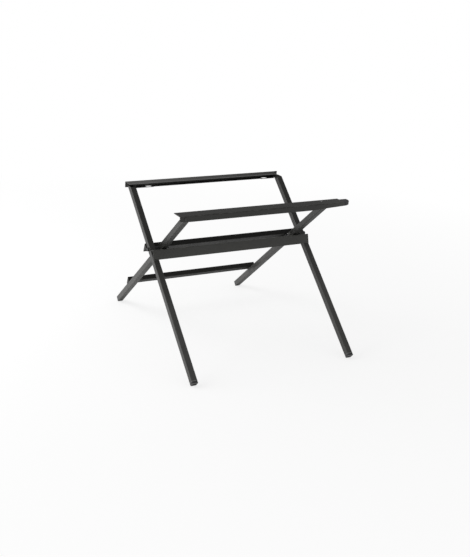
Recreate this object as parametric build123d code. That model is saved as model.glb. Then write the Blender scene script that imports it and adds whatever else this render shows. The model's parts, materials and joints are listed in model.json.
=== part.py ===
from build123d import *
import os
from math import atan2, cos, radians, sin, tan

# Folding stand for a table saw: an outer and an inner frame of square tube
# cross like scissors on two pivot bolts. Lengths are in millimetres.
# X runs across the stand, +Y is the rear, +Z is up, and the origin lies on
# the floor under the middle of the pivot axis, with the stand opened.

# Whole stand
outer_width = 660.0
overall_height = 555.0
lower_leg_length = 531.0
lean_deg = 48.2

# Square tube of the legs
tube = 22.0
tube_wall = 1.5
tube_corner = 2.0
leg_gap = 18.0
outer_leg_top_drop = 11.0

# Sheet steel of the rails
steel = 2.0
bend_radius = 3.0

# Rear top rail, a channel that opens to the front
rear_rail_drop = 22.5
rear_rail_end_reach = 3.0
rear_rail_setback = 31.34
rear_rail_top_depth = 44.0
rear_rail_bottom_depth = 21.5
tab_depth = 25.0
left_tab_length = 107.0
right_tab_length = 85.0
left_slot_from_end = 90.5
right_slot_from_end = 67.0
slot_length = 26.0
slot_width = 16.0
end_plate_front_drop = 6.0

# Front top rail, an angle over the inner legs
front_rail_drop = 20.5
front_rail_overhang = 30.28
front_rail_depth = 49.0
front_rail_corner = 5.0
left_taper_length = 40.0
left_taper_rise = 3.0
right_taper_length = 145.0
right_taper_rise = 7.0
saw_hole_diameter = 10.0
saw_hole_from_end = 76.0
saw_hole_setback = 10.0
end_cap_length = 31.0
end_cap_depth = 38.0
end_cap_plug = 20.0
end_cap_front_radius = 28.0
end_cap_rear_radius = 3.0
end_screw_setback = 21.0
end_screw_drop = 9.0

# Stop rails and the lower cross rail
front_stop_span = 39.5
front_stop_stand = 19.0
front_stop_bend_drop = 8.2
cross_rail_stand = 19.0
rear_stop_flat = 30.0
rear_stop_left_reach = 3.0
rear_stop_right_inset = 5.0
lower_rail_flat = 28.0
lower_rail_distance = 357.0
stop_seat_gap = 0.3

# Foot caps
cap_head = 11.0
cap_edge = 1.0
cap_spigot = 22.0
cap_spigot_wall = 2.5
cap_fit = 0.1

# Pivot hardware, M8
bolt_diameter = 8.0
bolt_head_across = 13.0
bolt_head_height = 5.3
bolt_head_edge = 0.8
bolt_tip = 6.0
bolt_tip_chamfer = 1.0
nut_height = 8.0
washer_diameter = 16.0
washer_thickness = 1.6
spacer_diameter = 16.0
running_fit = 0.04
running_play = 0.2
leg_hole_fit = 0.1

# End screw of the front rail, M5
screw_diameter = 5.0
screw_head_diameter = 9.5
screw_head_height = 3.2
screw_nut_across = 8.0
screw_nut_height = 4.0
screw_tip = 2.0

# Cuts run past the surface by this much
overrun = 5.0

# Places worked out from the sizes above
lean = radians(lean_deg)
half_tube = tube / 2
tube_bore = tube - 2 * tube_wall
cap_lift = cap_edge * min(sin(lean), cos(lean))
pivot_height = lower_leg_length * cos(lean) + half_tube * sin(lean) - cap_lift
outer_leg_x = outer_width / 2 - half_tube
inner_leg_x = outer_leg_x - tube - leg_gap
outer_leg_inner_face = outer_leg_x - half_tube
inner_leg_inner_face = inner_leg_x - half_tube
outer_leg_cut = overall_height - outer_leg_top_drop
inner_leg_cut = overall_height - steel
rear_web_y = (outer_leg_cut - pivot_height) * tan(lean) + rear_rail_setback
front_face_y = (pivot_height - inner_leg_cut) * tan(lean) - front_rail_overhang
rear_rail_length = outer_width + 2 * rear_rail_end_reach
rear_rail_end = rear_rail_length / 2
left_tab_edge = left_tab_length - rear_rail_end
right_tab_edge = rear_rail_end - right_tab_length
front_rail_end = outer_width / 2
rear_rail_bottom = overall_height - rear_rail_drop
front_rail_bottom = overall_height - front_rail_drop
stop_edge_drop = (tube * sin(lean) ** 2 + stop_seat_gap) / sin(2 * lean)
seat_reach = half_tube + stop_seat_gap
rear_stop_distance = (seat_reach - (half_tube + cross_rail_stand) * cos(2 * lean)) / sin(2 * lean)
rear_stop_left = -outer_width / 2 - rear_stop_left_reach
rear_stop_right = outer_width / 2 - rear_stop_right_inset
lower_rail_end = inner_leg_x + half_tube
inner_washer_x = inner_leg_inner_face - running_play - washer_thickness
nut_x = inner_washer_x - nut_height
bolt_tip_x = nut_x - bolt_tip
spacer_x = inner_leg_x + half_tube + running_play
bolt_head_x = outer_width / 2 + washer_thickness

sides = (("left", -1), ("right", 1))
outer_frame = Pos(0, 0, pivot_height) * Rot(X=-lean_deg)
inner_frame = Pos(0, 0, pivot_height) * Rot(X=lean_deg)


def rounded_square(width, corner):
    """Square section with rounded corners, centred on the leg's line."""
    return RectangleRounded(width, width, corner)


def bent_sheet(outline, outer_bends, inner_bends, length):
    """Sheet bent to a side outline of (y, z) points, run along X about its middle."""
    face = make_face(Polyline(*outline, close=True))
    for corners, radius in ((outer_bends, bend_radius), (inner_bends, bend_radius - steel)):
        for corner in corners:
            nearest = face.vertices().sort_by_distance(Vector(*corner))[0]
            face = fillet(nearest, radius)
    return extrude(Plane.YZ * face, amount=length / 2, both=True)


def leg(leg_x, frame, cut_height, hole_diameter):
    """Square tube leaning through the pivot, its top cut level."""
    section = rounded_square(tube, tube_corner) - rounded_square(tube_bore, tube_corner - tube_wall)
    start = lower_leg_length - cap_head
    reach = (cut_height - pivot_height) / cos(lean) + tube * tan(lean)
    body = Pos(0, 0, -start) * extrude(section, amount=start + reach)
    hole = Rot(Y=90) * Cylinder(hole_diameter / 2, tube + 2 * overrun)
    body = Pos(leg_x, 0, 0) * frame * (body - hole)
    above = Box(2 * tube, overall_height, overall_height, align=(Align.CENTER, Align.CENTER, Align.MIN))
    return body - Pos(leg_x, 0, cut_height) * above


def foot_cap(leg_x, frame):
    """Plastic plug whose head closes the tube's lower end, flush with the tube."""
    head = extrude(rounded_square(tube, tube_corner), amount=cap_head)
    head = chamfer(head.faces().sort_by(Axis.Z)[0].edges(), cap_edge)
    spigot_width = tube_bore - 2 * cap_fit
    spigot = extrude(rounded_square(spigot_width, tube_corner - tube_wall), amount=cap_spigot)
    hollow_width = spigot_width - 2 * cap_spigot_wall
    hollow = extrude(Rectangle(hollow_width, hollow_width), amount=cap_spigot + overrun)
    cap = head + Pos(0, 0, cap_head) * (spigot - hollow)
    return Pos(leg_x, 0, 0) * frame * Pos(0, 0, -lower_leg_length) * cap


def rear_top_rail():
    """Channel along the rear: web, top flange, and bottom flange with two slotted tabs."""
    back = rear_web_y
    top = overall_height
    bottom = rear_rail_bottom
    top_front = back - rear_rail_top_depth
    bottom_front = back - tab_depth
    inner_back = back - steel
    outline = (
        (top_front, top),
        (back, top),
        (back, bottom),
        (bottom_front, bottom),
        (bottom_front, bottom + steel),
        (inner_back, bottom + steel),
        (inner_back, top - steel),
        (top_front, top - steel),
    )
    outer_bends = ((back, top), (back, bottom))
    inner_bends = ((inner_back, bottom + steel), (inner_back, top - steel))
    rail = bent_sheet(outline, outer_bends, inner_bends, rear_rail_length)
    rail -= rear_rail_end_notches()
    rail -= rear_rail_tab_relief()
    return rail - rear_rail_slots()


def rear_rail_end_notches():
    """Past the outer legs' inner faces the bottom flange stops, and on the right the top flange too."""
    depth = rear_rail_top_depth + overrun
    width = rear_rail_end - outer_leg_inner_face + overrun
    place = Pos(outer_leg_inner_face, rear_web_y - bend_radius, rear_rail_bottom - overrun)
    notches = []
    for _, side in sides:
        notch_top = overrun if side > 0 else -bend_radius
        height = rear_rail_drop + notch_top + overrun
        notch = place * Box(width, depth, height, align=(Align.MIN, Align.MAX, Align.MIN))
        notches.append(notch if side > 0 else mirror(notch, about=Plane.YZ))
    return notches


def rear_rail_tab_relief():
    """Between the two tabs the bottom flange is narrower."""
    span = right_tab_edge - left_tab_edge
    depth = tab_depth - rear_rail_bottom_depth + overrun
    relief = Box(span, depth, rear_rail_drop, align=(Align.MIN, Align.MAX, Align.CENTER))
    return Pos(left_tab_edge, rear_web_y - rear_rail_bottom_depth, rear_rail_bottom) * relief


def rear_rail_slots():
    """Slots for the saw's rear bolts, one in each tab."""
    slot_y = rear_web_y - (steel + tab_depth) / 2
    slot = extrude(SlotOverall(slot_length, slot_width), amount=rear_rail_drop / 2, both=True)
    places = (left_slot_from_end - rear_rail_end, rear_rail_end - right_slot_from_end)
    return [Pos(x, slot_y, rear_rail_bottom) * slot for x in places]


def rear_rail_end_plate(side):
    """Upright plate inside the channel's end, welded to the leg's inner face."""
    top = overall_height - steel
    bottom = rear_rail_bottom + steel
    back = rear_web_y - steel
    front_top = rear_web_y - rear_rail_top_depth + steel
    front_bottom = rear_web_y - rear_rail_bottom_depth
    outline = (
        (front_top, top),
        (back, top),
        (back, bottom),
        (front_bottom, bottom),
        (front_top, top - end_plate_front_drop),
    )
    face = make_face(Polyline(*outline, close=True))
    for corner in ((back, top), (back, bottom)):
        face = fillet(face.vertices().sort_by_distance(Vector(*corner))[0], bend_radius - steel)
    plate = extrude(Plane.YZ * face, amount=steel)
    inner_x = outer_leg_inner_face - steel if side > 0 else -outer_leg_inner_face
    return Pos(inner_x, 0, 0) * plate


def front_top_rail():
    """Angle along the front, its top flange resting on the inner legs' level tops."""
    front = front_face_y
    top = overall_height
    bottom = front_rail_bottom
    rear = front + front_rail_depth
    inner_front = front + steel
    outline = (
        (rear, top),
        (front, top),
        (front, bottom),
        (inner_front, bottom),
        (inner_front, top - steel),
        (rear, top - steel),
    )
    rail = bent_sheet(outline, ((front, top),), ((inner_front, top - steel),), outer_width)
    rail -= front_rail_tapers()
    left_end = rail.edges().filter_by(Axis.Y).group_by(Axis.X)[0]
    rail = fillet(left_end.sort_by(Axis.Z)[0], front_rail_corner)
    hole = Cylinder(saw_hole_diameter / 2, 2 * overrun)
    rail -= Pos(front_rail_end - saw_hole_from_end, rear - saw_hole_setback, top) * hole
    screw_hole = Rot(X=90) * Cylinder(screw_diameter / 2 + leg_hole_fit, 2 * overrun)
    return rail - front_rail_screw_place() * screw_hole


def front_rail_tapers():
    """Towards each end the front flange's lower edge rises."""
    far = front_rail_end + end_cap_length + overrun
    wedges = []
    tapers = (
        (-1, left_taper_length, left_taper_rise),
        (1, right_taper_length, right_taper_rise),
    )
    for side, length, rise in tapers:
        start = front_rail_end - length
        far_rise = rise * (far - start) / length
        outline = (
            (side * start, front_rail_bottom),
            (side * far, front_rail_bottom),
            (side * far, front_rail_bottom + far_rise),
        )
        face = Plane.XZ * make_face(Polyline(*outline, close=True))
        wedge = extrude(face, amount=front_rail_depth, both=True)
        wedges.append(Pos(0, front_face_y, 0) * wedge)
    return wedges


def front_rail_screw_place():
    """Place on the front flange's face, a little in from its left end."""
    return Pos(end_screw_setback - front_rail_end, front_face_y, overall_height - end_screw_drop)


def front_rail_screw():
    """Pan head screw whose shank points to the rear."""
    base_down = (Align.CENTER, Align.CENTER, Align.MIN)
    head = Cylinder(screw_head_diameter / 2, screw_head_height, align=base_down)
    head = fillet(head.edges().group_by(Axis.Z)[-1], screw_head_height / 2)
    shank_length = steel + screw_nut_height + screw_tip
    shank = Cylinder(screw_diameter / 2, shank_length, align=(Align.CENTER, Align.CENTER, Align.MAX))
    return front_rail_screw_place() * Rot(X=90) * (head + shank)


def front_rail_screw_nut():
    """Hexagon nut on the end screw, behind the front flange."""
    hexagon = RegularPolygon(screw_nut_across / 2, 6, major_radius=False)
    nut = extrude(hexagon - Circle(screw_diameter / 2), amount=screw_nut_height)
    return front_rail_screw_place() * Rot(X=-90) * Pos(0, 0, steel) * nut


def front_rail_end_cap():
    """Plastic plug in the rail's right end, with a rounded nose past the end."""
    front = front_face_y
    plan = Rectangle(end_cap_length, end_cap_depth, align=(Align.MIN, Align.MIN))
    outer_corners = plan.vertices().group_by(Axis.X)[-1].sort_by(Axis.Y)
    plan = fillet(outer_corners[0], end_cap_front_radius)
    rear_corner = plan.vertices().sort_by_distance(Vector(end_cap_length, end_cap_depth))[0]
    plan = fillet(rear_corner, end_cap_rear_radius)
    nose = Pos(front_rail_end, front, front_rail_bottom) * extrude(plan, amount=front_rail_drop)
    top_edges = nose.faces().sort_by(Axis.Z)[-1].edges().filter_by(Axis.X, reverse=True)
    nose = fillet(top_edges.sort_by(Axis.X)[1:], cap_edge)
    plug_height = front_rail_drop - steel
    plug_depth = end_cap_depth - steel
    plug = Box(end_cap_plug, plug_depth, plug_height, align=(Align.MAX, Align.MIN, Align.MIN))
    upper_front = plug.edges().filter_by(Axis.X).group_by(Axis.Z)[-1].sort_by(Axis.Y)[0]
    plug = fillet(upper_front, bend_radius - steel)
    cap = nose + Pos(front_rail_end, front + steel, front_rail_bottom) * plug
    return cap - front_rail_tapers()


def front_stop_rail():
    """Angle set toes down on the outer legs' front faces, just below the pivot."""
    toe_line = -half_tube
    upper_toe = -stop_edge_drop
    lower_toe = upper_toe - front_stop_span
    bend_y = toe_line - front_stop_stand
    bend_z = upper_toe - front_stop_bend_drop
    upper_angle = atan2(front_stop_stand, front_stop_bend_drop)
    lower_angle = atan2(front_stop_stand, front_stop_span - front_stop_bend_drop)
    upper_inner = upper_toe - steel / sin(upper_angle)
    lower_inner = lower_toe + steel / sin(lower_angle)
    inner_step = steel / sin(upper_angle + lower_angle)
    inner_y = bend_y + inner_step * (sin(upper_angle) + sin(lower_angle))
    inner_z = bend_z + inner_step * (cos(upper_angle) - cos(lower_angle))
    outline = (
        (toe_line, lower_toe),
        (bend_y, bend_z),
        (toe_line, upper_toe),
        (toe_line, upper_inner),
        (inner_y, inner_z),
        (toe_line, lower_inner),
    )
    rail = bent_sheet(outline, ((bend_y, bend_z),), ((inner_y, inner_z),), outer_width)
    return outer_frame * rail


def cross_rail(left, right, distance, flat):
    """Angle flat on the inner legs' rear faces, its other flange standing at the upper edge."""
    seat = half_tube
    outline = (
        (seat + cross_rail_stand, -distance),
        (seat, -distance),
        (seat, -distance - flat),
        (seat + steel, -distance - flat),
        (seat + steel, -distance - steel),
        (seat + cross_rail_stand, -distance - steel),
    )
    rail = bent_sheet(outline, ((seat, -distance),), ((seat + steel, -distance - steel),), right - left)
    return inner_frame * Pos((left + right) / 2, 0, 0) * rail


def rear_stop_rail():
    """Cross rail near the pivot that the outer legs come to rest on."""
    return cross_rail(rear_stop_left, rear_stop_right, rear_stop_distance, rear_stop_flat)


def cross_rail_end_plate(start, distance, flat):
    """Three-cornered plate that closes a cross rail's end."""
    corner_y = half_tube + steel
    corner_z = -distance - steel
    corners = (
        (corner_y, corner_z),
        (half_tube + cross_rail_stand, corner_z),
        (corner_y, -distance - flat),
    )
    face = make_face(Polyline(*corners, close=True))
    face = fillet(face.vertices().sort_by_distance(Vector(corner_y, corner_z))[0], bend_radius - steel)
    plate = extrude(Plane.YZ * face, amount=steel)
    return inner_frame * Pos(start, 0, 0) * plate


def rear_stop_end_plate(side):
    """End plate of the rear stop rail."""
    start = rear_stop_right - steel if side > 0 else rear_stop_left
    return cross_rail_end_plate(start, rear_stop_distance, rear_stop_flat)


def lower_rear_rail():
    """Cross rail that ties the inner legs together near the floor."""
    return cross_rail(-lower_rail_end, lower_rail_end, lower_rail_distance, lower_rail_flat)


def lower_rail_end_plate(side):
    """End plate of the lower rear rail."""
    start = lower_rail_end - steel if side > 0 else -lower_rail_end
    return cross_rail_end_plate(start, lower_rail_distance, lower_rail_flat)


def turned_outward(side, solid):
    """A piece built along +X from the pivot's middle, placed on one side."""
    placed = Pos(0, 0, pivot_height) * solid
    return placed if side > 0 else mirror(placed, about=Plane.YZ)


def hexagon_prism(across, height, start):
    """Hexagonal prism along +X from the given place."""
    prism = extrude(RegularPolygon(across / 2, 6, major_radius=False), amount=height)
    return Pos(start, 0, 0) * Rot(Y=90) * prism


def ring(outer_diameter, hole_diameter, thickness, start):
    """Flat ring or sleeve along +X from the given place."""
    profile = Circle(outer_diameter / 2) - Circle(hole_diameter / 2)
    return Pos(start, 0, 0) * Rot(Y=90) * extrude(profile, amount=thickness)


def pivot_bolt(side):
    """Hexagon bolt that the inner leg swings on."""
    shank_length = bolt_head_x - bolt_tip_x
    shank = Cylinder(bolt_diameter / 2, shank_length, align=(Align.CENTER, Align.CENTER, Align.MIN))
    shank = Pos(bolt_tip_x, 0, 0) * Rot(Y=90) * shank
    shank = chamfer(shank.edges().filter_by(GeomType.CIRCLE).group_by(Axis.X)[0], bolt_tip_chamfer)
    head = hexagon_prism(bolt_head_across, bolt_head_height, bolt_head_x)
    head = chamfer(head.faces().sort_by(Axis.X)[-1].edges(), bolt_head_edge)
    return turned_outward(side, shank + head)


def pivot_nut(side):
    """Lock nut on the bolt's inner end."""
    nut = hexagon_prism(bolt_head_across, nut_height, nut_x)
    nut = chamfer(nut.faces().sort_by(Axis.X)[0].edges(), bolt_head_edge)
    hole = Cylinder(bolt_diameter / 2, nut_height + 2 * overrun)
    hole = Pos(nut_x + nut_height / 2, 0, 0) * Rot(Y=90) * hole
    return turned_outward(side, nut - hole)


def pivot_spacer(side):
    """Sleeve that keeps the two legs apart."""
    length = outer_leg_inner_face - spacer_x
    return turned_outward(side, ring(spacer_diameter, bolt_diameter, length, spacer_x))


def pivot_washers():
    """A washer under each bolt's head and under each nut."""
    washers = []
    for start in (inner_washer_x, outer_width / 2):
        washer = ring(washer_diameter, bolt_diameter, washer_thickness, start)
        washers += [turned_outward(side, washer) for _, side in sides]
    return Compound(children=washers)


def write(name, solid):
    """Write one sub-part under its node's name."""
    export_step(solid, os.path.join("parts", name + ".step"))


os.makedirs("parts", exist_ok=True)
fixed_hole = bolt_diameter + 2 * leg_hole_fit
running_hole = bolt_diameter + 2 * running_fit
for name, side in sides:
    write("outer_leg_" + name, leg(side * outer_leg_x, outer_frame, outer_leg_cut, fixed_hole))
    write("inner_leg_" + name, leg(side * inner_leg_x, inner_frame, inner_leg_cut, running_hole))
    write("outer_foot_cap_" + name, foot_cap(side * outer_leg_x, outer_frame))
    write("inner_foot_cap_" + name, foot_cap(side * inner_leg_x, inner_frame))
    write("rear_rail_end_plate_" + name, rear_rail_end_plate(side))
    write("rear_stop_end_plate_" + name, rear_stop_end_plate(side))
    write("lower_rail_end_plate_" + name, lower_rail_end_plate(side))
    write("pivot_bolt_" + name, pivot_bolt(side))
    write("pivot_nut_" + name, pivot_nut(side))
    write("pivot_spacer_" + name, pivot_spacer(side))
write("pivot_washers", pivot_washers())
write("rear_top_rail", rear_top_rail())
write("front_top_rail", front_top_rail())
write("front_rail_end_cap", front_rail_end_cap())
write("front_rail_screw", front_rail_screw())
write("front_rail_screw_nut", front_rail_screw_nut())
write("front_stop_rail", front_stop_rail())
write("rear_stop_rail", rear_stop_rail())
write("lower_rear_rail", lower_rear_rail())
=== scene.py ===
import json
import math

import bmesh
import bpy
from mathutils import Matrix, Vector


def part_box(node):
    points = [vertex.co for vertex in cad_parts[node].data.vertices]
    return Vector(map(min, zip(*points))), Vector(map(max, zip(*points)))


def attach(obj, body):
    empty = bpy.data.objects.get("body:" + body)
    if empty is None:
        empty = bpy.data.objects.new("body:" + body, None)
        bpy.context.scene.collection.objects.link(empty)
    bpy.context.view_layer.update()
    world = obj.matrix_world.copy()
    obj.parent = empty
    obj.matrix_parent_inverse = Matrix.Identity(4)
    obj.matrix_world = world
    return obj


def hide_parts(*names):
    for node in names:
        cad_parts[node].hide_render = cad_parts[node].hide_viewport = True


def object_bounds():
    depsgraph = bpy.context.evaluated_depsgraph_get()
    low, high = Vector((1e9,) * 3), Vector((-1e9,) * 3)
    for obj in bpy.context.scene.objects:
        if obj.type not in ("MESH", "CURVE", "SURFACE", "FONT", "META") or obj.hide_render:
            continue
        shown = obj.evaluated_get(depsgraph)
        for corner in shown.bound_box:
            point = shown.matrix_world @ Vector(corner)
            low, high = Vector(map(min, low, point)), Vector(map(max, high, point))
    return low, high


# A folding stand for a table saw, opened. An outer and an inner frame of
# square steel tube cross on two pivot bolts. X runs across the stand, +Y is
# the rear and +Z is up. Sizes are in metres.

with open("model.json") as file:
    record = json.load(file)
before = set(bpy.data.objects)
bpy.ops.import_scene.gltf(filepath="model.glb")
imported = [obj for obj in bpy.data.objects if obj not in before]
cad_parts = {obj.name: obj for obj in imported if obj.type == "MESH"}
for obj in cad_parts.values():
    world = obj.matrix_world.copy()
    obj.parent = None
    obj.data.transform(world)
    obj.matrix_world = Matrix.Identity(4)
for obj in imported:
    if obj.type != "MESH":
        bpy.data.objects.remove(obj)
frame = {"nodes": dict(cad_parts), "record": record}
cad_low, cad_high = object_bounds()
nodes = frame["nodes"]

MM = 0.001
HAIR = 0.01 * MM
SIDES = (("left", -1), ("right", 1))
lean = math.radians(48.2)
pivot = Vector(frame["record"]["behaviour"]["joints"][0]["pos_m"])
outer_place = Matrix.Translation(pivot) @ Matrix.Rotation(-lean, 4, "X")
inner_place = Matrix.Translation(pivot) @ Matrix.Rotation(lean, 4, "X")

# Sizes of the frame that the pieces here are fitted to
tube = 22 * MM
half_tube = tube / 2
leg_length = 531 * MM
outer_leg_x = 319 * MM
inner_leg_x = 279 * MM
outer_leg_top_drop = 11 * MM
steel = 2 * MM
stop_stand = 19 * MM
stop_span = 39.5 * MM
stop_bend_drop = 8.2 * MM
stop_face_angle = math.atan2(stop_stand, stop_span - stop_bend_drop)
stop_top_angle = math.atan2(stop_bend_drop, stop_stand)
stop_seat_gap = 0.3 * MM
cross_rail_stand = 19 * MM
rear_stop_flat = 30 * MM
lower_rail_flat = 28 * MM
lower_rail_distance = 357 * MM

front_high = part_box("front_top_rail")[1]
rear_low, rear_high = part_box("rear_top_rail")


# Groups that several finishes share

def group_of(name, inputs, outputs):
    """An empty shader group with its sockets, and its two end nodes."""
    group = bpy.data.node_groups.new(name, "ShaderNodeTree")
    for label, kind, value in inputs:
        socket = group.interface.new_socket(label, in_out="INPUT", socket_type=kind)
        if value is not None:
            socket.default_value = value
    for label, kind in outputs:
        group.interface.new_socket(label, in_out="OUTPUT", socket_type=kind)
    into = group.nodes.new("NodeGroupInput")
    out = group.nodes.new("NodeGroupOutput")
    return group, into, out


def maths(tree, operation, first, second=None):
    """A Math node with sockets or numbers going in."""
    node = tree.nodes.new("ShaderNodeMath")
    node.operation = operation
    for slot, value in zip(node.inputs, (first, second)):
        if isinstance(value, (int, float)):
            slot.default_value = value
        elif value is not None:
            tree.links.new(value, slot)
    return node.outputs[0]


def noise(tree, vector, scale, detail=2.0, roughness=0.5):
    """A noise texture over the object's own coordinates."""
    node = tree.nodes.new("ShaderNodeTexNoise")
    node.inputs["Scale"].default_value = scale
    node.inputs["Detail"].default_value = detail
    node.inputs["Roughness"].default_value = roughness
    tree.links.new(vector, node.inputs["Vector"])
    return node.outputs["Fac"]


def span(tree, value, low, high, to_low=0.0, to_high=1.0):
    """Maps a value from one range to another, held inside it."""
    node = tree.nodes.new("ShaderNodeMapRange")
    node.clamp = True
    tree.links.new(value, node.inputs["Value"])
    node.inputs["From Min"].default_value = low
    node.inputs["From Max"].default_value = high
    node.inputs["To Min"].default_value = to_low
    node.inputs["To Max"].default_value = to_high
    return node.outputs["Result"]


def split_axes(tree, vector):
    """The X, Y and Z of a vector, each as a socket."""
    node = tree.nodes.new("ShaderNodeSeparateXYZ")
    tree.links.new(vector, node.inputs["Vector"])
    return node.outputs


def make_powder_grain():
    """The skin of baked powder paint: a fine orange peel over slow waves, and cloudy patches."""
    group, into, out = group_of(
        "powder_grain",
        [("Vector", "NodeSocketVector", None), ("Peel Scale", "NodeSocketFloat", 900.0)],
        [("Height", "NodeSocketFloat"), ("Clouds", "NodeSocketFloat")],
    )
    vector = into.outputs["Vector"]
    peel = group.nodes.new("ShaderNodeTexNoise")
    peel.inputs["Detail"].default_value = 3.0
    group.links.new(vector, peel.inputs["Vector"])
    group.links.new(into.outputs["Peel Scale"], peel.inputs["Scale"])
    waves = noise(group, vector, 140.0, 2.0)
    height = maths(group, "ADD", peel.outputs["Fac"], maths(group, "MULTIPLY", waves, 1.5))
    clouds = noise(group, vector, 11.0, 4.0, 0.6)
    group.links.new(height, out.inputs["Height"])
    group.links.new(clouds, out.inputs["Clouds"])
    return group


def make_bend_rub_and_highlight():
    """Where the rounded bends and tube corners are paler, broken up by noise: partly rubbed paint, partly a
    painted highlight along the bends.
    """
    group, into, out = group_of(
        "bend_rub_and_highlight",
        [("Normal", "NodeSocketVector", None), ("Vector", "NodeSocketVector", None)],
        [("Rub And Highlight", "NodeSocketFloat")],
    )
    facing = split_axes(group, into.outputs["Normal"])
    sizes = [maths(group, "ABSOLUTE", facing[axis]) for axis in "XYZ"]
    largest = maths(group, "MAXIMUM", maths(group, "MAXIMUM", sizes[0], sizes[1]), sizes[2])
    off_face = span(group, largest, 0.99, 0.8)
    patches = span(group, noise(group, into.outputs["Vector"], 60.0, 5.0, 0.7), 0.42, 0.66)
    group.links.new(maths(group, "MULTIPLY", off_face, patches), out.inputs["Rub And Highlight"])
    return group


def make_scuffs():
    """Fine rub marks from handling, and a little dust that lies on upward faces."""
    group, into, out = group_of(
        "scuffs",
        [("Vector", "NodeSocketVector", None), ("Normal", "NodeSocketVector", None)],
        [("Scuff", "NodeSocketFloat"), ("Dust", "NodeSocketFloat")],
    )
    vector = into.outputs["Vector"]
    stretch = group.nodes.new("ShaderNodeMapping")
    stretch.inputs["Scale"].default_value = (1.0, 6.0, 6.0)
    group.links.new(vector, stretch.inputs["Vector"])
    streaks = span(group, noise(group, stretch.outputs["Vector"], 35.0, 6.0, 0.72), 0.56, 0.7)
    broad = span(group, noise(group, vector, 8.0, 2.0), 0.45, 0.65)
    group.links.new(maths(group, "MULTIPLY", streaks, broad), out.inputs["Scuff"])
    upward = span(group, split_axes(group, into.outputs["Normal"])["Z"], 0.55, 1.0)
    specks = span(group, noise(group, vector, 420.0, 4.0, 0.8), 0.5, 0.75)
    group.links.new(maths(group, "MULTIPLY", upward, specks), out.inputs["Dust"])
    return group


powder_grain = make_powder_grain()
bend_rub_and_highlight = make_bend_rub_and_highlight()
scuffs = make_scuffs()


# Finishes

PAINT_RELIEF = 0.06 * MM
PLASTIC_RELIEF = 0.08 * MM
PLATING_RELIEF = 0.02 * MM
SATIN_DARK = (0.0142, 0.0142, 0.0126)
SATIN_LIGHT = (0.0234, 0.0234, 0.0208)
# Paler colour of the bends: rubbed paint and a painted highlight
RUBBED_AND_HIGHLIGHT = (0.071, 0.071, 0.068)
LOOSE_DUST = (0.2, 0.195, 0.185)
# Paler colour towards one end: dust and painted light
END_DUST_AND_LIGHT = (0.2, 0.197, 0.19)
# Colour of the painted highlight along forward sheet edges
LIP_HIGHLIGHT = (0.15, 0.15, 0.148)
SCUFFED_PLASTIC = (0.09, 0.09, 0.09)
RUB_AND_HIGHLIGHT_SHARE = 0.55
LOOSE_DUST_SHARE = 0.12
SCUFF_ROUGHNESS = 0.1
RUB_GLOSS = 0.08
PLASTIC_SCUFF_SHARE = 0.5

# How a lip's painted highlight fades out, backwards from the sheet's edge and at its sides
LIP_FULL = 1.0 * MM
LIP_END = 2.5 * MM
LIP_BLUR = 0.5 * MM


def new_finish(name):
    """A material with its Principled shader and the object's own coordinates."""
    material = bpy.data.materials.new(name)
    material.use_nodes = True
    tree = material.node_tree
    shader = tree.nodes["Principled BSDF"]
    place = tree.nodes.new("ShaderNodeTexCoord")
    return material, tree, shader, place


def use_group(tree, group, **feeds):
    """Places a shared group in a material and feeds its inputs."""
    node = tree.nodes.new("ShaderNodeGroup")
    node.node_tree = group
    for label, value in feeds.items():
        socket = node.inputs[label.replace("_", " ")]
        if isinstance(value, (int, float)):
            socket.default_value = value
        else:
            tree.links.new(value, socket)
    return node.outputs


def blend_colour(tree, mask, under, over):
    """Two colours mixed by a mask; each is a socket or a colour."""
    node = tree.nodes.new("ShaderNodeMix")
    node.data_type = "RGBA"
    tree.links.new(mask, node.inputs["Factor"])
    for label, value in ((6, under), (7, over)):
        if isinstance(value, tuple):
            node.inputs[label].default_value = (*value, 1.0)
        else:
            tree.links.new(value, node.inputs[label])
    return node.outputs[2]


def add_bump(tree, shader, height, depth):
    """Surface relief of the given depth in metres."""
    bump = tree.nodes.new("ShaderNodeBump")
    bump.inputs["Strength"].default_value = 1.0
    bump.inputs["Distance"].default_value = depth
    tree.links.new(height, bump.inputs["Height"])
    tree.links.new(bump.outputs["Normal"], shader.inputs["Normal"])


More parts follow.
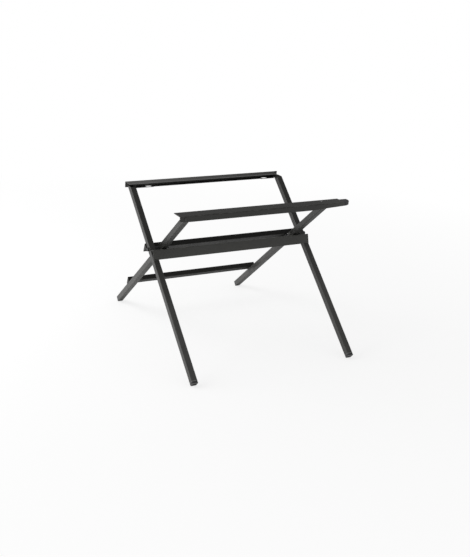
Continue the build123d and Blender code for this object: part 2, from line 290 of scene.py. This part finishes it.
def frame_paint(
    name, turn, dark=SATIN_DARK, light=SATIN_LIGHT, sheen=0.5, end_dust_and_light=("Z", 0.38, 0.2, 0.18),
    rub_and_highlight_colour=RUBBED_AND_HIGHLIGHT, lit_lips=()
):
    """Satin black powder paint. The turn lines the bends up with the piece's own directions.

    Towards one end the paint is paler, as dust lying thicker there and as painted light: its direction,
    where it starts, where it is full, its share.
    Lips are sheet edges that face forward and get a painted highlight: how far back, lowest and highest.
    """
    paler_axis, paler_start, paler_full, paler_most = end_dust_and_light
    material, tree, shader, place = new_finish(name)
    own_place = place.outputs["Object"]
    own_normal = place.outputs["Normal"]
    shader.inputs["Specular IOR Level"].default_value = sheen
    turned = tree.nodes.new("ShaderNodeMapping")
    turned.vector_type = "NORMAL"
    turned.inputs["Rotation"].default_value = (turn, 0.0, 0.0)
    tree.links.new(own_normal, turned.inputs["Vector"])
    grain = use_group(tree, powder_grain, Vector=own_place, Peel_Scale=900.0)
    clouds = grain["Clouds"]
    rub_and_highlight = use_group(tree, bend_rub_and_highlight, Normal=turned.outputs["Vector"], Vector=own_place)["Rub And Highlight"]
    marks = use_group(tree, scuffs, Vector=own_place, Normal=own_normal)
    finished = blend_colour(tree, clouds, dark, light)
    # Paler rounded bends: partly rubbed paint, partly a painted highlight
    rub_and_highlight_share = maths(tree, "MULTIPLY", rub_and_highlight, RUB_AND_HIGHLIGHT_SHARE)
    finished = blend_colour(tree, rub_and_highlight_share, finished, rub_and_highlight_colour)
    dust_share = maths(tree, "MULTIPLY", marks["Dust"], LOOSE_DUST_SHARE)
    finished = blend_colour(tree, dust_share, finished, LOOSE_DUST)
    where = split_axes(tree, own_place)
    # Paler towards one end: dust, and painted light
    towards = span(tree, where[paler_axis], paler_start, paler_full, 0.0, paler_most)
    patchy = span(tree, clouds, 0.2, 0.6, 0.6, 1.0)
    finished = blend_colour(tree, maths(tree, "MULTIPLY", towards, patchy), finished, END_DUST_AND_LIGHT)
    # Painted highlight along the forward sheet edges
    for lip_y, lip_low, lip_high in lit_lips:
        near = span(tree, where["Y"], lip_y + LIP_END, lip_y + LIP_FULL)
        above = span(tree, where["Z"], lip_low - LIP_BLUR, lip_low)
        below = span(tree, where["Z"], lip_high + LIP_BLUR, lip_high)
        on_lip = maths(tree, "MULTIPLY", maths(tree, "MULTIPLY", above, below), near)
        lip_highlight_share = maths(tree, "MULTIPLY", on_lip, span(tree, clouds, 0.2, 0.6, 0.6, 0.9))
        finished = blend_colour(tree, lip_highlight_share, finished, LIP_HIGHLIGHT)
    tree.links.new(finished, shader.inputs["Base Color"])
    worn = maths(tree, "MULTIPLY", marks["Scuff"], SCUFF_ROUGHNESS)
    rough = maths(tree, "ADD", span(tree, clouds, 0.3, 0.7, 0.36, 0.46), worn)
    rough = maths(tree, "SUBTRACT", rough, maths(tree, "MULTIPLY", rub_and_highlight, RUB_GLOSS))
    slant = tree.nodes.new("ShaderNodeLayerWeight")
    slant.inputs["Blend"].default_value = 0.5
    rough = maths(tree, "ADD", rough, span(tree, slant.outputs["Facing"], 0.6, 1.0, 0.0, 0.4))
    tree.links.new(rough, shader.inputs["Roughness"])
    add_bump(tree, shader, grain["Height"], PAINT_RELIEF)
    return material


def moulded_plastic(name, dark, light, roughness):
    """Matt moulded plastic with a fine spark-eroded grain and paler, scuffed patches."""
    material, tree, shader, place = new_finish(name)
    grain = use_group(tree, powder_grain, Vector=place.outputs["Object"], Peel_Scale=1500.0)
    marks = use_group(tree, scuffs, Vector=place.outputs["Object"], Normal=place.outputs["Normal"])
    cloudy = blend_colour(tree, grain["Clouds"], dark, light)
    scuff_share = maths(tree, "MULTIPLY", marks["Scuff"], PLASTIC_SCUFF_SHARE)
    colour = blend_colour(tree, scuff_share, cloudy, SCUFFED_PLASTIC)
    rough = span(tree, grain["Clouds"], 0.3, 0.7, roughness, roughness + 0.12)
    tree.links.new(colour, shader.inputs["Base Color"])
    tree.links.new(rough, shader.inputs["Roughness"])
    add_bump(tree, shader, grain["Height"], PLASTIC_RELIEF)
    return material


def plated_steel(name, dark, light, roughness, metallic):
    """Plated hardware: cloudy plating with fine turned lines and duller patches."""
    material, tree, shader, place = new_finish(name)
    stretch = tree.nodes.new("ShaderNodeMapping")
    stretch.inputs["Scale"].default_value = (1.0, 0.08, 0.08)
    tree.links.new(place.outputs["Object"], stretch.inputs["Vector"])
    lines = noise(tree, stretch.outputs["Vector"], 2600.0, 3.0)
    patches = noise(tree, place.outputs["Object"], 240.0, 5.0, 0.65)
    colour = blend_colour(tree, span(tree, patches, 0.35, 0.65), dark, light)
    duller = span(tree, patches, 0.35, 0.65, roughness + 0.14, roughness)
    rough = maths(tree, "ADD", duller, maths(tree, "MULTIPLY", lines, 0.08))
    tree.links.new(colour, shader.inputs["Base Color"])
    tree.links.new(rough, shader.inputs["Roughness"])
    shader.inputs["Metallic"].default_value = metallic
    add_bump(tree, shader, maths(tree, "ADD", lines, patches), PLATING_RELIEF)
    return material


lip_height = 2.2 * MM
lip_margin = 1.0 * MM
tab_lip_reach = 24.5 * MM
# Edges of the rear rail that get a painted highlight: the top flange's front edge and the bottom flange's
# front edge
rear_lit_lips = (
    (rear_low.y, rear_high.z - lip_height, rear_high.z + lip_margin),
    (rear_high.y - tab_lip_reach, rear_low.z - lip_margin, rear_low.z + lip_height),
)

level_paint = frame_paint("satin_black_powder_level", 0.0)
# The front rail's bends get a paler colour, a painted highlight along its top bend; the rail is also paler
# towards its right end.
front_rail_paint = frame_paint(
    "satin_black_powder_front_rail", 0.0, end_dust_and_light=("X", 0.2, 0.34, 0.13), rub_and_highlight_colour=(0.15, 0.15, 0.144)
)
outer_paint = frame_paint("satin_black_powder_outer", lean)
# A paler copy of the paint on the front stop rail, with a still paler bend: painted light and a painted
# highlight.
lit_front_stop_paint = frame_paint(
    "satin_black_powder_front_stop_painted_light", lean - (stop_face_angle + stop_top_angle) / 2,
    (0.038, 0.038, 0.0345), (0.049, 0.049, 0.0445), rub_and_highlight_colour=(0.17, 0.17, 0.163)
)
# The rear rail is paler towards its left end: painted light from the lamp on the left.
rear_rail_paint = frame_paint(
    "satin_black_powder_rear_rail", 0.0, sheen=0.38, end_dust_and_light=("X", 0.33, -0.33, 0.3), lit_lips=rear_lit_lips
)
inner_paint = frame_paint("satin_black_powder_inner", -lean, end_dust_and_light=("Z", 0.38, 0.1, 0.27))
# A darker copy of the paint on the rear stop rail and the lower rear rail: painted shade for the shade
# between the legs.
shaded_cross_paint = frame_paint(
    "satin_black_powder_cross_rails_painted_shade", -lean,
    (0.0071, 0.0071, 0.0063), (0.0122, 0.0122, 0.011), 0.2, ("Z", 0.38, 0.2, 0.03)
)
weld_paint = frame_paint("satin_black_powder_welds", math.radians(30))
foot_plastic = moulded_plastic(
    "matt_black_foot_plastic", (0.026, 0.026, 0.027), (0.038, 0.038, 0.039), 0.42
)
# Pale plastic for the foot caps' rims: a painted highlight
highlight_rim = moulded_plastic("plastic_rim_painted_highlight", (0.17, 0.17, 0.17), (0.25, 0.25, 0.247), 0.5)
cap_plastic = moulded_plastic("matt_black_cap_plastic", (0.018, 0.018, 0.019), (0.028, 0.028, 0.03), 0.42)
dull_zinc = plated_steel("dull_zinc_plate", (0.2, 0.2, 0.195), (0.33, 0.33, 0.32), 0.38, 1.0)
black_bolt = plated_steel("black_oiled_steel", (0.02, 0.02, 0.021), (0.05, 0.05, 0.052), 0.34, 0.6)
painted_screw = plated_steel("painted_over_screw", (0.035, 0.035, 0.033), (0.07, 0.07, 0.067), 0.42, 0.2)


def paint(obj, material):
    """Gives a piece one finish."""
    obj.data.materials.clear()
    obj.data.materials.append(material)


# What each solid that shows is finished with, by the start of its name
finishes = {
    "outer_leg": outer_paint,
    "inner_leg": inner_paint,
    "front_stop_rail": lit_front_stop_paint,
    "rear_stop_rail": shaded_cross_paint,
    "rear_stop_end_plate": shaded_cross_paint,
    "lower_rear_rail": shaded_cross_paint,
    "lower_rail_end_plate": shaded_cross_paint,
    "rear_top_rail": rear_rail_paint,
    "rear_rail_end_plate": level_paint,
    "front_top_rail": front_rail_paint,
    "front_rail_end_cap": cap_plastic,
    "pivot_spacer": black_bolt,
    "front_rail_screw_nut": dull_zinc,
}
for name, node in nodes.items():
    for start, material in finishes.items():
        if name.startswith(start):
            paint(node, material)


# Tools for shaping a piece by hand

along_x = Matrix.Rotation(math.radians(90), 4, "Y")
upside_down = Matrix.Rotation(math.pi, 4, "X")


def deselect_all():
    """Leaves nothing selected."""
    for obj in bpy.context.selected_objects:
        obj.select_set(False)


def named(name):
    """The primitive just added, under its own name."""
    obj = bpy.context.object
    obj.name = name
    obj.data.name = name
    return obj


def take(obj):
    """Makes one object the only one that operators act on."""
    deselect_all()
    obj.select_set(True)
    bpy.context.view_layer.objects.active = obj


def settle(obj, place):
    """Moves a finished piece to its place, and leaves its object at the origin."""
    obj.matrix_world = place
    take(obj)
    bpy.ops.object.transform_apply(location=True, rotation=True, scale=True)


def placed(name):
    """The primitive just added, under its own name and with its place in its mesh."""
    obj = named(name)
    take(obj)
    bpy.ops.object.transform_apply(location=True, rotation=True, scale=True)
    return obj


def pick(obj, test, kind="FACE"):
    """Goes into edit mode with only the faces or edges that pass the test selected."""
    take(obj)
    bpy.ops.object.mode_set(mode="EDIT")
    bpy.ops.mesh.select_mode(type=kind)
    bpy.ops.mesh.select_all(action="DESELECT")
    mesh = bmesh.from_edit_mesh(obj.data)
    for part in mesh.faces if kind == "FACE" else mesh.edges:
        part.select = test(part)
    bmesh.update_edit_mesh(obj.data)


def done():
    """Leaves edit mode."""
    bpy.ops.object.mode_set(mode="OBJECT")


def lies_at(edge, height):
    """Whether both ends of an edge lie at a height."""
    return all(abs(v.co.z - height) < HAIR for v in edge.verts)


def round_edges(obj, test, offset, segments):
    """Bevels the edges that pass the test."""
    pick(obj, test, "EDGE")
    bpy.ops.mesh.bevel(offset=offset, segments=segments, affect="EDGES")
    done()


def smooth(obj, degrees=35):
    """Shades all but the sharp edges smooth."""
    take(obj)
    bpy.ops.object.shade_smooth_by_angle(angle=math.radians(degrees))


def apply_all(obj):
    """Applies the piece's modifiers in order."""
    take(obj)
    for modifier in list(obj.modifiers):
        bpy.ops.object.modifier_apply(modifier=modifier.name)


def copy_of(obj, name):
    """A copy with its own mesh."""
    copied = obj.copy()
    copied.data = obj.data.copy()
    copied.name = name
    copied.data.name = name
    bpy.context.scene.collection.objects.link(copied)
    return copied


def remove(obj):
    """Deletes a model that only served for copies."""
    bpy.data.objects.remove(obj, do_unlink=True)


def join(pieces, name):
    """Several objects made one."""
    take(pieces[0])
    for piece in pieces[1:]:
        piece.select_set(True)
    bpy.ops.object.join()
    return named(name)


def cut(obj, cutter, operation="DIFFERENCE"):
    """Takes one shape from another, or keeps what they share, and removes the cutter."""
    modifier = obj.modifiers.new("cut", "BOOLEAN")
    modifier.operation = operation
    modifier.solver = "EXACT"
    modifier.object = cutter
    apply_all(obj)
    remove(cutter)


def face_out(obj):
    """Merges doubles and turns all faces outwards."""
    pick(obj, lambda part: True)
    bpy.ops.mesh.remove_doubles(threshold=HAIR)
    bpy.ops.mesh.normals_make_consistent(inside=False)
    done()


def bar(radius, start, end, corners):
    """Adds a round bar along +Z between two heights."""
    bpy.ops.mesh.primitive_cylinder_add(
        vertices=corners, radius=radius, depth=end - start, location=(0, 0, (start + end) / 2)
    )


def round_top(obj, height, offset, segments):
    """Bevels the edges at the upper end of a bar."""
    round_edges(obj, lambda edge: all(v.co.z > height - HAIR for v in edge.verts), offset, segments)


# Foot caps: a plug with a square head, closed by a ribbed sole

def make_foot_cap():
    """One cap standing on its sole at the origin, its plug pointing up."""
    head = 11 * MM
    upright_round = 2 * MM
    rim_height = 1.2 * MM
    plug_inset = 1.65 * MM
    plug_length = 22 * MM
    plug_wall = 2.4 * MM
    plug_depth = 20 * MM
    sole_round = 1.35 * MM
    groove_rows = (-1, 0, 1)
    groove_pitch = 5 * MM
    groove_size = (15 * MM, 1.6 * MM, 1.2 * MM)
    rim_band_depth = 0.8 * MM
    upper_rim = (head - 1.25 * MM, head + 0.1 * MM)
    lower_rim = (0.2 * MM, 1.4 * MM)
    lower_rim_slope = (-0.95, -0.1)

    bpy.ops.mesh.primitive_cube_add(size=1, location=(0, 0, head / 2), scale=(tube, tube, head))
    cap = placed("foot_cap")

    def upright(edge):
        return abs(edge.verts[0].co.z - edge.verts[1].co.z) > head / 2

    round_edges(cap, upright, upright_round, segments=4)
    bpy.ops.object.mode_set(mode="EDIT")
    bpy.ops.mesh.select_all(action="SELECT")
    bpy.ops.mesh.bisect(plane_co=(0, 0, head - rim_height), plane_no=(0, 0, 1))
    done()
    pick(cap, lambda face: face.normal.z > 0.9)
    bpy.ops.mesh.inset(thickness=plug_inset)
    bpy.ops.mesh.extrude_region_move(TRANSFORM_OT_translate={"value": (0, 0, plug_length)})
    bpy.ops.mesh.inset(thickness=plug_wall)
    bpy.ops.mesh.extrude_region_move(TRANSFORM_OT_translate={"value": (0, 0, -plug_depth)})
    done()

    def around_sole(edge):
        beside_wall = any(abs(face.normal.z) < 0.5 for face in edge.link_faces)
        return lies_at(edge, 0) and len(edge.link_faces) == 2 and beside_wall

    round_edges(cap, around_sole, sole_round, segments=3)
    for row in groove_rows:
        bpy.ops.mesh.primitive_cube_add(size=1, location=(0, row * groove_pitch, 0), scale=groove_size)
        cut(cap, named("sole_groove"))
    smooth(cap)
    cap.data.materials.append(foot_plastic)
    cap.data.materials.append(highlight_rim)
    # The upper rim at the tube's end and the sole's downward chamfer get the paler plastic: a painted
    # highlight at the rim, a painted reflection of the floor on the chamfer.
    for face in cap.data.polygons:
        outside = max(abs(face.center.x), abs(face.center.y)) > half_tube - rim_band_depth
        on_upper = upper_rim[0] < face.center.z < upper_rim[1]
        slopes = lower_rim_slope[0] < face.normal.z < lower_rim_slope[1]
        on_lower = lower_rim[0] < face.center.z < lower_rim[1] and slopes
        if outside and (on_upper or on_lower):
            face.material_index = 1
    return cap


foot_cap = make_foot_cap()
for label, side in SIDES:
    for body, leg_x, place in (("outer", outer_leg_x, outer_place), ("inner", inner_leg_x, inner_place)):
        cap = copy_of(foot_cap, f"{body}_foot_{label}")
        settle(cap, place @ Matrix.Translation((side * leg_x, 0, -leg_length)))
        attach(cap, f"{body}_frame")
        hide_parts(f"{body}_foot_cap_{label}")
remove(foot_cap)


# Pivot hardware, modelled along +Z at its distance from the middle of the
# stand, then turned to the right or to the left

nut_height = 8 * MM
washer_thickness = 1.6 * MM
running_play = 0.2 * MM
hexagon_across = 13 * MM
collar_radius = 5.9 * MM
outer_face = outer_leg_x + half_tube
head_seat = outer_face + washer_thickness
inner_washer_start = inner_leg_x - half_tube - running_play - washer_thickness
nut_start = inner_washer_start - nut_height
bolt_past_nut = 6 * MM
bolt_tip = nut_start - bolt_past_nut


def hardware_place(side):
    """The place of a piece of hardware at one side's pivot."""
    turn = Matrix.Identity(4) if side > 0 else Matrix.Rotation(math.pi, 4, "Z")
    return Matrix.Translation(pivot) @ turn @ along_x


def turned_rod(name, radius, start, end, chamfer):
    """Round bar along +Z between two heights, its upper end chamfered."""
    bar(radius, start, end, corners=32)
    rod = placed(name)
    round_top(rod, end, chamfer, segments=2)
    return rod


def hexagon(name, across, start, end, chamfered):
    """Hexagon bar along +Z whose corners are turned off at the given heights."""
    corner_radius = across / 2 / math.cos(math.radians(30))
    corner_round = 0.9 * MM
    bpy.ops.mesh.primitive_cylinder_add(
        vertices=6, radius=corner_radius, depth=end - start,
        location=(0, 0, (start + end) / 2), rotation=(0, 0, math.radians(30))
    )
    body = placed(name)
    bar(corner_radius, start, end, corners=48)
    turned = placed("turned_blank")

    def at_chamfer(edge):
        return any(lies_at(edge, height) for height in chamfered)

    round_edges(turned, at_chamfer, corner_round, segments=3)
    cut(body, turned, "INTERSECT")
    return body


def thread(name, radius, pitch, start, turns):
    """A helical ridge round a rod, from a small triangle that is screwed upwards."""
    bpy.ops.mesh.primitive_circle_add(
        vertices=3, radius=pitch * 0.5, location=(radius, 0, start), rotation=(math.radians(90), 0, 0)
    )
    ridge = placed(name)
    screw = ridge.modifiers.new("turns", "SCREW")
    screw.axis = "Z"
    screw.angle = 2 * math.pi
    screw.screw_offset = pitch
    screw.iterations = turns
    screw.steps = 20
    screw.render_steps = 20
    apply_all(ridge)
    pick(ridge, lambda edge: len(edge.link_faces) == 1, "EDGE")
    bpy.ops.mesh.fill()
    done()
    face_out(ridge)
    return ridge


def make_bolt():
    """Hexagon bolt with its head out and its thread in."""
    head_height = 5.3 * MM
    collar_start = head_seat - 0.05 * MM
    collar_height = 0.5 * MM
    core_radius = 3.55 * MM
    tip_chamfer = 0.7 * MM
    plain_chamfer = 0.1 * MM
    plain_radius = 4 * MM
    thread_length = 24 * MM
    thread_pitch = 1.25 * MM
    thread_start = bolt_tip + 1.2 * MM
    head_end = head_seat + head_height
    head = hexagon("bolt_head", hexagon_across, head_seat, head_end, (head_end,))
    bar(collar_radius, collar_start, collar_start + collar_height, corners=40)
    collar = placed("bolt_collar")
    shank = turned_rod("bolt_shank", core_radius, -head_seat, -bolt_tip, tip_chamfer)
    settle(shank, upside_down)
    plain = turned_rod("bolt_plain_shank", plain_radius, bolt_tip + thread_length, head_seat, plain_chamfer)
    ridge = thread("bolt_thread", core_radius, thread_pitch, thread_start, turns=17)
    bolt = join([head, collar, shank, plain, ridge], "pivot_bolt")
    smooth(bolt, degrees=30)
    return bolt


def make_lock_nut():
    """Lock nut: a hexagon with a round collar at the bolt's tip."""
    body_start = nut_start + 2.2 * MM
    collar_height = 3.4 * MM
    collar_round = 1.1 * MM
    hole_radius = 4 * MM
    hole_reach = 15 * MM
    nut_end = nut_start + nut_height
    body = hexagon("nut_body", hexagon_across, body_start, nut_end, (body_start, nut_end))
    bar(collar_radius, nut_start, nut_start + collar_height, corners=40)
    collar = placed("nut_collar")
    round_edges(collar, lambda edge: lies_at(edge, nut_start), collar_round, segments=4)
    for part in (body, collar):
        bar(hole_radius, nut_start - hole_reach, nut_start + hole_reach, corners=32)
        cut(part, named("nut_hole"))
    nut = join([body, collar], "lock_nut")
    smooth(nut, degrees=30)
    return nut


def make_washer(start):
    """Washer along +Z with rounded rims."""
    outer_radius = 8 * MM
    hole_radius = 4.1 * MM
    hole_reach = 3 * MM
    rim_round = 0.3 * MM
    rim_width = 1 * MM
    bar(outer_radius, start, start + washer_thickness, corners=48)
    washer = placed("washer")
    bar(hole_radius, start - hole_reach, start + hole_reach, corners=32)
    cut(washer, named("washer_hole"))

    def on_rim(edge):
        middle = (edge.verts[0].co + edge.verts[1].co) / 2
        level_edge = abs(edge.verts[0].co.z - edge.verts[1].co.z) < HAIR
        return level_edge and middle.xy.length > outer_radius - rim_width

    round_edges(washer, on_rim, rim_round, segments=2)
    smooth(washer, degrees=30)
    return washer


bolt = make_bolt()
nut = make_lock_nut()
for label, side in SIDES:
    for source, name, replaced, material in (
        (bolt, "bolt", "pivot_bolt", black_bolt),
        (nut, "lock_nut", "pivot_nut", dull_zinc),
    ):
        piece = copy_of(source, f"{name}_{label}")
        settle(piece, hardware_place(side))
        paint(piece, material)
        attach(piece, "outer_frame")
        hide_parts(f"{replaced}_{label}")
for source in (bolt, nut):
    remove(source)

washers = []
for start in (inner_washer_start, outer_face):
    for _, side in SIDES:
        washer = make_washer(start)
        settle(washer, hardware_place(side))
        washers.append(washer)
washers = join(washers, "washers")
paint(washers, dull_zinc)
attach(washers, "outer_frame")
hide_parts("pivot_washers")


# End screw of the front rail: a pan head with a cross recess

def make_end_screw():
    """The screw's head on the rail's front face and its shank through the rail."""
    head_height = 3.2 * MM
    head_round = 1.9 * MM
    recess_size = (4.6 * MM, 0.9 * MM, 3.2 * MM)
    shank_radius = 2.2 * MM
    tip_chamfer = 0.4 * MM
    thread_pitch = 0.8 * MM
    low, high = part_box("front_rail_screw")
    middle = (low + high) / 2
    face_y = low.y + head_height
    bar((high.x - low.x) / 2, 0.0, head_height, corners=40)
    head = placed("screw_head")
    round_top(head, head_height, head_round, segments=6)
    for angle in (0, 90):
        bpy.ops.mesh.primitive_cube_add(
            size=1, location=(0, 0, head_height), rotation=(0, 0, math.radians(angle)), scale=recess_size
        )
        cut(head, placed("cross_arm"))
    shank = turned_rod("screw_shank", shank_radius, 0.0, high.y - face_y, tip_chamfer)
    ridge = thread("screw_thread", shank_radius, thread_pitch, thread_pitch, turns=8)
    for part in (shank, ridge):
        settle(part, upside_down)
    screw = join([head, shank, ridge], "end_screw")
    smooth(screw, degrees=30)
    facing_front = Matrix.Rotation(math.radians(90), 4, "X")
    settle(screw, Matrix.Translation((middle.x, face_y, middle.z)) @ facing_front)
    paint(screw, painted_screw)
    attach(screw, "inner_frame")
    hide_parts("front_rail_screw")


make_end_screw()


# Welds: beads of overlapping ripples, painted over

BEAD_TURNS = {
    "X": Matrix.Identity(4),
    "Y": Matrix.Rotation(math.radians(90), 4, "Z"),
    "Z": Matrix.Rotation(math.radians(-90), 4, "Y"),
}


def make_bead(length):
    """A rippled bead along X about the origin."""
    ripple_pitch = 1.5 * MM
    ripple_radius = 2.1 * MM
    skin_grid = 0.45 * MM
    bpy.ops.mesh.primitive_uv_sphere_add(
        segments=10, ring_count=6, radius=ripple_radius, location=(-length / 2, 0, 0), scale=(0.62, 1, 1)
    )
    bead = placed("bead")
    row = bead.modifiers.new("row", "ARRAY")
    row.use_relative_offset = False
    row.use_constant_offset = True
    row.constant_offset_displace = (ripple_pitch, 0, 0)
    row.count = int(length / ripple_pitch) + 1
    skin = bead.modifiers.new("skin", "REMESH")
    skin.mode = "VOXEL"
    skin.voxel_size = skin_grid
    skin.use_smooth_shade = True
    apply_all(bead)
    return bead


def weld_row(name, body, places):
    """All the beads of one joint line, as one piece on a body. Each place is a matrix and a length."""
    models = {}
    beads = []
    for place, length in places:
        if length not in models:
            models[length] = make_bead(length)
        bead = copy_of(models[length], "bead_copy")
        settle(bead, place)
        beads.append(bead)
    for model in models.values():
        remove(model)
    welds = join(beads, name)
    paint(welds, weld_paint)
    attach(welds, body)


def at(place, x, y, z, direction="X"):
    """A bead's place in a frame's own directions: its middle and the way it runs."""
    return place @ Matrix.Translation((x, y, z)) @ BEAD_TURNS[direction]


level = Matrix.Identity(4)
rise = math.tan(lean)
bead_stand = 0.4 * MM
short_bead = 16 * MM
side_bead = 22 * MM

# Inner legs up into the front rail
under_flange = front_high.z - steel
leg_top_y = -(under_flange - pivot.z) * rise
flange_bead = 26 * MM
flange_bead_drop = 0.6 * MM
places = []
for _, side in SIDES:
    for face in (-half_tube, half_tube):
        spot = at(level, side * inner_leg_x + face, leg_top_y, under_flange - flange_bead_drop, "Y")
        places.append((spot, flange_bead))
weld_row("front_rail_welds", "inner_frame", places)

# Rear rail's end plates onto the outer legs
leg_cut = rear_high.z - outer_leg_top_drop
cut_y = (leg_cut - pivot.z) * rise
plate_bead_shift = 1 * MM
places = []
for _, side in SIDES:
    inner_side = side * (outer_leg_x - half_tube)
    spot = at(level, inner_side, cut_y + plate_bead_shift, leg_cut + bead_stand, "Y")
    places.append((spot, side_bead))
weld_row("rear_rail_welds", "outer_frame", places)

# Front stop rail's toes onto the outer legs
upper_toe = -(tube * math.sin(lean) ** 2 + stop_seat_gap) / math.sin(2 * lean)
lower_toe = upper_toe - stop_span
toe_bead_shift = 0.5 * MM
places = []
for _, side in SIDES:
    for z in (upper_toe + toe_bead_shift, lower_toe - toe_bead_shift):
        places.append((at(outer_place, side * outer_leg_x, -half_tube - bead_stand, z), short_bead))
weld_row("front_stop_welds", "outer_frame", places)

# Rear stop rail and lower rail onto the inner legs
seat_reach = half_tube + stop_seat_gap
stop_reach = half_tube + cross_rail_stand
rear_stop_distance = (seat_reach - stop_reach * math.cos(2 * lean)) / math.sin(2 * lean)
edge_bead_drop = 0.3 * MM
for name, distance, flat, leg_sides in (
    ("rear_stop_welds", rear_stop_distance, rear_stop_flat, (-1, 1)),
    ("lower_rail_welds", lower_rail_distance, lower_rail_flat, (-1,)),
):
    places = []
    for _, side in SIDES:
        x = side * inner_leg_x
        below = at(inner_place, x, half_tube + bead_stand, -distance - flat - edge_bead_drop)
        places.append((below, short_bead))
        for leg_side in leg_sides:
            beside_x = x + leg_side * side * half_tube
            beside = at(inner_place, beside_x, half_tube - bead_stand, -distance - flat / 2, "Z")
            places.append((beside, side_bead))
    weld_row(name, "inner_frame", places)


# Floor, backdrop and light

def floor_finish():
    """White floor that keeps the stand's soft shadow and stays white far away."""
    near, far = 0.5, 2.5
    white_near, white_far = 0.75, 1.0
    material, tree, shader, place = new_finish("white_floor")
    shader.inputs["Base Color"].default_value = (0.93, 0.93, 0.93, 1)
    shader.inputs["Roughness"].default_value = 0.9
    shader.inputs["Specular IOR Level"].default_value = 0.0
    white = tree.nodes.new("ShaderNodeEmission")
    rays = tree.nodes.new("ShaderNodeLightPath")
    distance = tree.nodes.new("ShaderNodeVectorMath")
    distance.operation = "LENGTH"
    tree.links.new(place.outputs["Object"], distance.inputs[0])
    share = span(tree, distance.outputs["Value"], near, far, white_near, white_far)
    mix = tree.nodes.new("ShaderNodeMixShader")
    tree.links.new(maths(tree, "MULTIPLY", share, rays.outputs["Is Camera Ray"]), mix.inputs["Fac"])
    tree.links.new(shader.outputs["BSDF"], mix.inputs[1])
    tree.links.new(white.outputs["Emission"], mix.inputs[2])
    tree.links.new(mix.outputs["Shader"], tree.nodes["Material Output"].inputs["Surface"])
    return material


def make_surroundings():
    """An even room that lights the stand, and a white backdrop. Reflections see it dimmer above."""
    room_strength = 0.66
    cove_top = 0.2
    cove_low_strength, cove_high_strength = 0.75, 0.25
    scene = bpy.context.scene
    if scene.world is None:
        scene.world = bpy.data.worlds.new("studio")
    scene.world.use_nodes = True
    tree = scene.world.node_tree
    tree.nodes.clear()
    room = tree.nodes.new("ShaderNodeBackground")
    room.inputs["Color"].default_value = (1, 1, 1, 1)
    room.inputs["Strength"].default_value = room_strength
    backdrop = tree.nodes.new("ShaderNodeBackground")
    backdrop.inputs["Color"].default_value = (1, 1, 1, 1)
    rays = tree.nodes.new("ShaderNodeLightPath")
    to_eye = rays.outputs["Is Camera Ray"]
    direction = tree.nodes.new("ShaderNodeTexCoord")
    height = split_axes(tree, direction.outputs["Generated"])["Z"]
    cove = span(tree, height, 0.0, cove_top, cove_low_strength, cove_high_strength)
    tree.links.new(maths(tree, "MAXIMUM", to_eye, cove), backdrop.inputs["Strength"])
    seen = maths(tree, "MAXIMUM", to_eye, rays.outputs["Is Glossy Ray"])
    mix = tree.nodes.new("ShaderNodeMixShader")
    world_out = tree.nodes.new("ShaderNodeOutputWorld")
    tree.links.new(seen, mix.inputs["Fac"])
    tree.links.new(room.outputs["Background"], mix.inputs[1])
    tree.links.new(backdrop.outputs["Background"], mix.inputs[2])
    tree.links.new(mix.outputs["Shader"], world_out.inputs["Surface"])


def soft_light(name, place, target, size, power):
    """A square soft box that points at a place."""
    data = bpy.data.lights.new(name, "AREA")
    data.shape = "SQUARE"
    data.size = size
    data.energy = power
    lamp = bpy.data.objects.new(name, data)
    bpy.context.scene.collection.objects.link(lamp)
    lamp.location = place
    lamp.rotation_mode = "QUATERNION"
    lamp.rotation_quaternion = (Vector(target) - Vector(place)).to_track_quat("-Z", "Y")


floor_size = 60
deselect_all()
bpy.ops.mesh.primitive_plane_add(size=floor_size, location=(0, 0, cad_low.z))
floor = named("floor")
paint(floor, floor_finish())
make_surroundings()
soft_light("key_left", (-2.0, 1.4, 1.7), (-0.4, 0.4, 0.2), size=1.6, power=45)


# Camera: the photograph's viewpoint

def make_camera():
    """Angles in radians. The focal length, the picture and its middle are in the photograph's pixels."""
    azimuth, elevation, roll = 0.4579, 0.35684, 0.05083
    focal_length = 854.362
    long_side = 557
    picture_middle = (235, 278.5)
    lens_centre = (180, 272)
    sensor_width = 36
    spot = Vector((-1.517385, -2.673635, 1.008464 + pivot.z))
    level_share = math.cos(elevation)
    ahead = Vector((math.sin(azimuth) * level_share, math.cos(azimuth) * level_share, -math.sin(elevation)))
    right = ahead.cross(Vector((0, 0, 1))).normalized()
    up = right.cross(ahead)
    right_rolled = math.cos(roll) * right + math.sin(roll) * up
    up_rolled = -math.sin(roll) * right + math.cos(roll) * up
    data = bpy.data.cameras.new("camera")
    data.sensor_width = sensor_width
    data.lens = focal_length / long_side * sensor_width
    data.shift_x = (picture_middle[0] - lens_centre[0]) / long_side
    data.shift_y = (lens_centre[1] - picture_middle[1]) / long_side
    camera = bpy.data.objects.new("camera", data)
    bpy.context.scene.collection.objects.link(camera)
    turn = Matrix((right_rolled, up_rolled, -ahead)).transposed().to_4x4()
    camera.matrix_world = Matrix.Translation(spot) @ turn
    bpy.context.scene.camera = camera


make_camera()
bpy.context.scene.view_settings.view_transform = "Standard"
